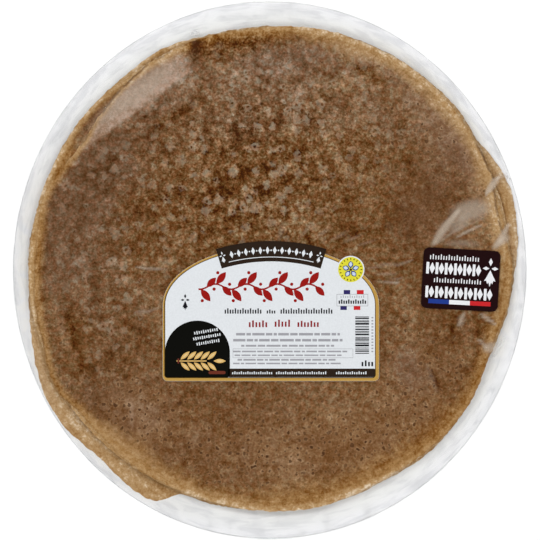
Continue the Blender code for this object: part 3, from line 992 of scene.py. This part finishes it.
def bent_band(coat, middle, inner, outer, half_angle):
    """A flat band bent round an arc that is highest at its middle."""
    start = math.radians(90 + half_angle)
    ends = []
    for reach in (inner, outer):
        x, y = polar(reach, start)
        ends.append(coat.verts.new((middle[0] + x, middle[1] + y, 0)))
    bmesh.ops.spin(
        coat, geom=[*ends, coat.edges.new(ends)], cent=(*middle, 0), axis=(0, 0, 1),
        angle=-2 * math.radians(half_angle), steps=32, use_merge=False)


def ermine_spot(coat, middle, height, turn=0.0, flare=0.17):
    """The old Breton ornament: three lozenges over a pointed tail that flares downwards."""
    c, s = polar(1.0, math.radians(turn))

    def at(x, y):
        return middle[0] + height * (c * x - s * y), middle[1] + height * (s * x + c * y)

    for x, y, half_width, half_height in (
            (0.0, 0.36, 0.07, 0.14), (-0.155, 0.135, 0.12, 0.065), (0.155, 0.135, 0.12, 0.065)):
        oval(coat, at(x, y), height * half_width, height * half_height, turn, 4)
    left = [(-1.0, -0.31), (-0.62, -0.29), (-0.45, -0.41), (-0.22, -0.35)]
    right = [(-x, y) for x, y in reversed(left)]
    tail = [(0.0, 0.08), *left, (0.0, -0.50), *right]
    coat.faces.new([coat.verts.new((*at(x * flare, y), 0)) for x, y in tail])


def strokes(coat, start, end, y, height, pitch, width):
    """A row of small upright strokes, every third one taller than the rest."""
    count = round((end - start) / pitch)
    for number in range(count):
        tall = 1.0 if number % 3 == 1 else 0.74
        x = start + (number + 0.5) * (end - start) / count
        bar(coat, (x, y - height * (1 - tall) / 2), width, height * tall)


def words(coat, start, end, y, height, first):
    """A row of flat bars of uneven lengths, as small print looks from afar."""
    x, number = start, first
    while x < end - 1.0:
        length = min(WORD_LENGTHS[number % len(WORD_LENGTHS)], end - x)
        bar(coat, (x + length / 2, y), length, height)
        x += length + 0.9
        number += 1


def ink_finish(name, colour):
    """An ink on coated paper, a little uneven in tone."""
    material, shader, where = new_finish(name, 0.25)
    feed(shader["Specular IOR Level"], 0.3)
    darker, lighter = (tuple(part * share for part in colour) for share in (0.90, 1.08))
    feed(shader["Base Color"], grain(where, INK_SCALE).blend(darker, lighter))
    feed(shader["Normal"], raised(grain(where, INK_WAVE_SCALE, 3.0), 0.00006))
    return material


def print_coat(name, level, ink, shapes, middle=(0.0, 0.0), turn=0.0):
    """Lay flat shapes, each given as a function and its sizes, on a label as a coat of ink."""
    coat = bmesh.new()
    for shape, *sizes in shapes:
        shape(coat, *sizes)
    bmesh.ops.recalc_face_normals(coat, faces=coat.faces)
    raised_part = bmesh.ops.extrude_face_region(coat, geom=coat.faces[:])["geom"]
    tops = [part for part in raised_part if isinstance(part, bmesh.types.BMVert)]
    bmesh.ops.translate(coat, vec=(0, 0, COAT_THICKNESS * COAT_STEP / MM), verts=tops)
    base = LABEL_TOP + (level - COAT_THICKNESS) * COAT_STEP
    place = Matrix.Translation((*middle, base)) @ Matrix.Rotation(turn, 4, 'Z')
    bmesh.ops.transform(coat, matrix=place @ Matrix.Scale(MM, 4), verts=coat.verts)
    bmesh.ops.recalc_face_normals(coat, faces=coat.faces)
    piece = new_piece(name, coat, ink_finish(name, ink))
    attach(piece, "root")


def banner_lozenges(coat):
    """Lozenges and dots in turn, along the banner."""
    for number in range(23):
        degrees = 12.4 - number * 24.8 / 22
        out = Matrix.Rotation(math.radians(degrees), 2) @ Vector((0, LOZENGE_REACH))
        middle = Vector(BANNER_MIDDLE) + out
        if number % 2:
            oval(coat, middle, 0.55, 0.55, 0.0, 10)
        else:
            oval(coat, middle, 1.35, 2.6, degrees, 4)


def stem_height(x):
    """Height of the garland's waving stem."""
    return GARLAND_LEVEL + GARLAND_SWING * math.sin(math.tau * x / GARLAND_WAVE)


def garland_stem(coat):
    """The waving stem of a garland, where the title stands."""
    stem = bmesh.ops.create_grid(coat, x_segments=64, y_segments=1, size=1.0)["verts"]
    fit(coat, stem, (-6.7, 0.0), (42.0, 0.6), 0.0)
    for vert in stem:
        vert.co.y += stem_height(vert.co.x)


def garland_leaves(coat):
    """Leaves in pairs along the stem, with round seeds between them."""
    for number in range(8):
        x = GARLAND_START + number * GARLAND_WAVE / 2
        side = 1 if number % 2 else -1
        leaf(coat, (x, stem_height(x)), 10.4, 2.4, side * 52)
        leaf(coat, (x + 4.0, stem_height(x + 4.0)), 9.0, 2.2, -side * 46)
        oval(coat, (x + 0.9, stem_height(x) + side * 7.8), 1.1, 1.1, 0.0, 18)
        oval(coat, (x + 9.0, stem_height(x + 9.0) + side * 3.4), 1.1, 1.1, 0.0, 18)


def barcode(coat):
    """Plain bars in an order that says nothing."""
    y = -31.8
    for number in range(26):
        height = STRIPE_WIDTHS[number % len(STRIPE_WIDTHS)]
        y -= height / 2
        if y > -57.2:
            bar(coat, (63.2, y), 9.4, height)
        y -= height / 2 + STRIPE_WIDTHS[(number * 5 + 2) % len(STRIPE_WIDTHS)] * 0.8


def grey_marks(coat):
    """Rows of small print as plain bars, a fine frame, a row of dots and a framed row."""
    for number, (start, end, y, height) in enumerate(GREY_ROWS):
        words(coat, start, end, y, height, number * 2)
    for x, y, width, height in GREY_FRAME:
        bar(coat, (x, y), width, height)
    for number in range(12):
        bar(coat, (70.2, -32.6 - 2.1 * number), 1.3, 0.9)
    strokes(coat, 48.0, 65.0, -18.2, 1.7, 1.5, 0.5)
    for x, y, width, height in GREY_BOX:
        bar(coat, (x, y), width, height)


def grains(coat, inset, length, half_width):
    """The grains of an ear that lies on its side, in pairs, with one at its tip."""
    x = EAR_X
    for number in range(EAR_PAIRS):
        for side in (-1, 1):
            along, up = polar(inset, math.radians(EAR_TURN * side))
            leaf(coat, (x + along, EAR_Y + 0.9 * side + up), length, half_width, EAR_TURN * side)
        x += EAR_STEP
    leaf(coat, (x + inset - 0.4, EAR_Y), length, half_width, 0.0)


def corner_marks(coat):
    """Three short rows of strokes over the ear, all a little turned."""
    for x, y, length in ((-43.6, -41.9, 17.0), (-43.0, -45.6, 19.6), (-42.2, -49.4, 16.4)):
        count = round(length / 1.5)
        for number in range(count):
            away = (number + 0.5) * length / count - length / 2
            middle = (x + away * 0.985, y + away * 0.17)
            bar(coat, middle, 0.8, 2.2 if number % 3 == 1 else 1.7, 10.0)


def round_seal(coat, start, length, half_width, count):
    """Leaves that stand round the seal's middle, the first of them upright."""
    for number in range(count):
        degrees = 90 + 360 * number / count
        stalk = Vector(SEAL_MIDDLE) + Vector(polar(start, math.radians(degrees)))
        leaf(coat, stalk, length, half_width, degrees)


def coated_paper():
    """Coated white label paper, faintly wavy."""
    material, shader, where = new_finish("coated_paper", 0.3)
    wave = grain(where, PAPER_WAVE_SCALE)
    shade = tuple(part * 0.965 for part in PAPER_WHITE)
    feed(shader["Base Color"], wave.blend(shade, PAPER_WHITE))
    feed(shader["Normal"], raised(grain(where, PAPER_FIBRE_SCALE) * 0.08 + wave, 0.00012))
    return material


# Each coat: its name, its level over the paper, its ink, and its shapes with their sizes
LABEL_COATS = (
    ("gold_border", 1, GOLD, (arch, 0.8, 73.9, -75.9, SHOULDER, 40.2, 3.4)),
    ("olive_line", 2, OLIVE, (arch, 0.2, 72.3, -73.9, SHOULDER, 38.9, 2.4)),
    ("white_field", 3, PAPER_WHITE, (arch, 0.3, 71.7, FOOT, SHOULDER, 38.4, 2.0)),
    ("banner", 4, BANNER_BROWN, (bent_band, BANNER_MIDDLE, 118.4, 132.3, 16.6)),
    ("banner_ornament", 5, PAPER_WHITE, (bent_band, BANNER_MIDDLE, 121.15, 121.65, 13.8),
     (banner_lozenges,), (ermine_spot, (-32.0, 8.6), 8.2, 15.0),
     (ermine_spot, (33.8, 8.6), 8.2, -15.0)),
    ("garland_stem", 4, TITLE_RED, (garland_stem,)),
    ("garland_leaves", 5, TITLE_RED, (garland_leaves,)),
    ("black_marks", 4, INK_BLACK, (strokes, -31.2, -5.3, -28.0, 3.7, 1.7, 0.95),
     (strokes, -2.4, 4.2, -28.4, 2.7, 1.7, 0.95), (strokes, 7.0, 43.2, -28.0, 3.7, 1.7, 0.95),
     (ermine_spot, (-57.8, -22.0), 11.3), (strokes, 46.8, 66.2, -21.6, 3.0, 1.6, 1.0),
     (barcode,), (strokes, 62.3, 71.2, -63.8, 4.0, 2.0, 1.2)),
    ("dark_red_marks", 4, DARK_RED, (strokes, -14.8, -1.2, -36.8, 4.6, 2.1, 1.2),
     (strokes, 2.9, 14.4, -36.4, 4.8, 2.1, 1.2), (strokes, 18.5, 34.0, -36.8, 4.2, 2.1, 1.2)),
    ("grey_marks", 4, PRINT_GREY, (grey_marks,)),
    ("blue_marks", 4, BLUE, (bar, (52.8, -15.1), 4.4, 2.8), (bar, (50.5, -26.0), 4.4, 2.6)),
    ("red_marks", 4, RED, (bar, (61.9, -15.1), 4.7, 2.8), (bar, (59.7, -26.0), 4.5, 2.6)),
    ("dark_strip", 4, BANNER_BROWN, (bar, (21.9, -70.35), 100.4, 5.9, 0.0, 0.9)),
    ("strip_marks", 5, PAPER_WHITE, (strokes, -26.0, 2.0, -70.3, 1.9, 1.5, 0.8),
     (strokes, 4.0, 39.0, -70.3, 1.9, 1.5, 0.8), (strokes, 45.0, 66.5, -70.3, 1.9, 1.5, 0.8)),
    ("dark_corner", 4, NEAR_BLACK, (arch, -49.4, 22.2, FOOT, -56.6, 22.0, 1.8)),
    ("ear", 5, TAN, (bar, (EAR_X + 7.6, EAR_Y), 20.6, 0.8), (grains, 0.0, 8.4, 1.45)),
    ("ear_lights", 6, PALE_TAN, (grains, 1.8, 5.2, 0.55)),
    ("ear_tie", 6, TIE_BROWN, (bar, (EAR_X - 1.4, EAR_Y), 1.3, 3.4, 0.0, 0.4),
     (bar, (EAR_X + 25.0, EAR_Y - 7.9), 11.6, 2.2, 0.0, 1.0)),
    ("corner_marks", 5, PAPER_WHITE, (corner_marks,)),
    ("seal_white", 4, PAPER_WHITE, (oval, SEAL_MIDDLE, 9.4, 9.4, 0.0, 48)),
    ("seal_yellow", 5, YELLOW, (oval, SEAL_MIDDLE, 8.6, 8.6, 0.0, 48)),
    ("seal_rays", 6, OLIVE, (round_seal, 6.5, 1.6, 0.35, 20)),
    ("seal_petals", 6, DARK_BLUE, (round_seal, 0.9, 5.0, 1.75, 5)),
    ("seal_petal_lights", 7, PALE_BLUE, (round_seal, 1.9, 3.4, 1.15, 5)),
    ("seal_heart", 7, OLIVE, (oval, SEAL_MIDDLE, 0.9, 0.9, 0.0, 16)),
)

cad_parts["front_label"].material_slots[0].material = coated_paper()
for name, level, ink, *shapes in LABEL_COATS:
    print_coat(f"label_{name}", level, ink, shapes)


# The side sticker
# A small dark sticker with rounded corners, stuck a little askew near the right edge. It has
# the same kind of plain ornament in white, an ermine spot and a bar in three colours.
STICKER_BROWN = (0.0134, 0.0038, 0.0043)
STICKER_WHITE = (0.740, 0.745, 0.768)
FLAG_BLUE = (0.015, 0.040, 0.234)


def bold_row(coat, start, end, y):
    """A row of upright bars, with a lozenge after each."""
    count = round((end - start) / 6.35)
    for number in range(count):
        x = start + number * ((end - start) / count)
        bar(coat, (x + 1.0, y), 1.9, 8.0, 0.0, 0.3)
        oval(coat, (x + 4.1, y), 1.95, 4.0, 0.0, 4)


STICKER_COATS = (
    ("sticker_white", STICKER_WHITE, (strokes, -22.3, 12.2, 14.6, 3.6, 1.8, 0.75),
     (strokes, -18.8, 14.4, -1.0, 3.4, 1.8, 0.75), (bold_row, -24.0, 14.0, 6.8),
     (bold_row, -23.7, 22.9, -9.4), (bar, (0.0, -15.8), 14.2, 3.0),
     (ermine_spot, (19.9, 5.9), 19.6, 0.0, 0.20)),
    ("sticker_blue", FLAG_BLUE, (bar, (-14.2, -15.8), 14.2, 3.0)),
    ("sticker_red", RED, (bar, (14.2, -15.8), 14.2, 3.0)),
)

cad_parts["side_sticker"].material_slots[0].material = ink_finish(
    "sticker_brown", STICKER_BROWN)
for name, ink, *shapes in STICKER_COATS:
    print_coat(name, 1, ink, shapes, STICKER_CENTRE, STICKER_TURN)


# The studio
# A pale floor, four soft boxes round the pack, and the camera straight above it, far off, as
# in the photograph.
FLOOR_HEIGHT = -0.0002
FLOOR_SIZE = 16.0
FLOOR_SHADE = (0.95, 0.95, 0.95)
FLOOR_WHITE = (0.97, 0.97, 0.97)
FLOOR_SCALE = 300
VIEW_WIDTH = 0.3704
VIEW_MIDDLE_X = 0.0002
LENS = 300.0
SENSOR = 36.0
SOFT_BOX_SIZE = 0.95
# Place and power of each soft box
SOFT_BOXES = (
    ((-0.78, 0.74, 1.70), 15.7), ((0.80, 0.70, 1.70), 11.8), ((0.74, -0.78, 1.70), 10.6),
    ((-0.78, -0.72, 1.70), 9.0))
# The room is dim overhead, so that flat film and print aren't veiled, and pale low down
ZENITH_LIGHT = 0.034
HORIZON_LIGHT = 0.95


def pale_floor():
    """A plain, nearly white floor."""
    material, shader, where = new_finish("pale_floor", 0.9)
    feed(shader["Base Color"], grain(where, FLOOR_SCALE).blend(FLOOR_SHADE, FLOOR_WHITE))
    feed(shader["Specular IOR Level"], 0.1)
    return material


ground = bmesh.new()
bmesh.ops.create_grid(ground, x_segments=1, y_segments=1, size=FLOOR_SIZE / 2)
bmesh.ops.translate(ground, vec=(0, 0, FLOOR_HEIGHT), verts=ground.verts)
floor = new_piece("floor", ground, pale_floor())

for number, (place, power) in enumerate(SOFT_BOXES):
    light = bpy.data.lights.new(f"soft_box_{number + 1}", 'AREA')
    light.shape = 'SQUARE'
    light.size = SOFT_BOX_SIZE
    light.energy = power
    box = bpy.data.objects.new(light.name, light)
    box.location = place
    box.rotation_euler = Vector(place).to_track_quat('Z', 'Y').to_euler()
    box.visible_camera = False
    box.visible_glossy = False
    bpy.context.scene.collection.objects.link(box)

world = bpy.data.worlds.new("studio")
world.use_nodes = True
room = world.node_tree
towards = node(room, "ShaderNodeTexCoord")["Generated"]
upward = node(room, "ShaderNodeSeparateXYZ", {0: towards})["Z"]
glow = node(room, "ShaderNodeMapRange",
            {"Value": upward, "From Min": 0.0, "From Max": 0.85, "To Min": HORIZON_LIGHT,
             "To Max": ZENITH_LIGHT}, interpolation_type='SMOOTHSTEP')[0]
background = room.nodes["Background"].inputs
feed(background["Strength"], glow)
feed(background["Color"], (1.0, 1.0, 1.0))
bpy.context.scene.world = world
bpy.context.scene.view_settings.view_transform = 'Standard'

lens = bpy.data.cameras.new("camera")
lens.lens = LENS
lens.sensor_width = SENSOR
lens.clip_end = 100.0
camera = bpy.data.objects.new("camera", lens)
camera.location = (VIEW_MIDDLE_X, 0.0, VIEW_WIDTH * LENS / SENSOR)
bpy.context.scene.collection.objects.link(camera)
bpy.context.scene.camera = camera
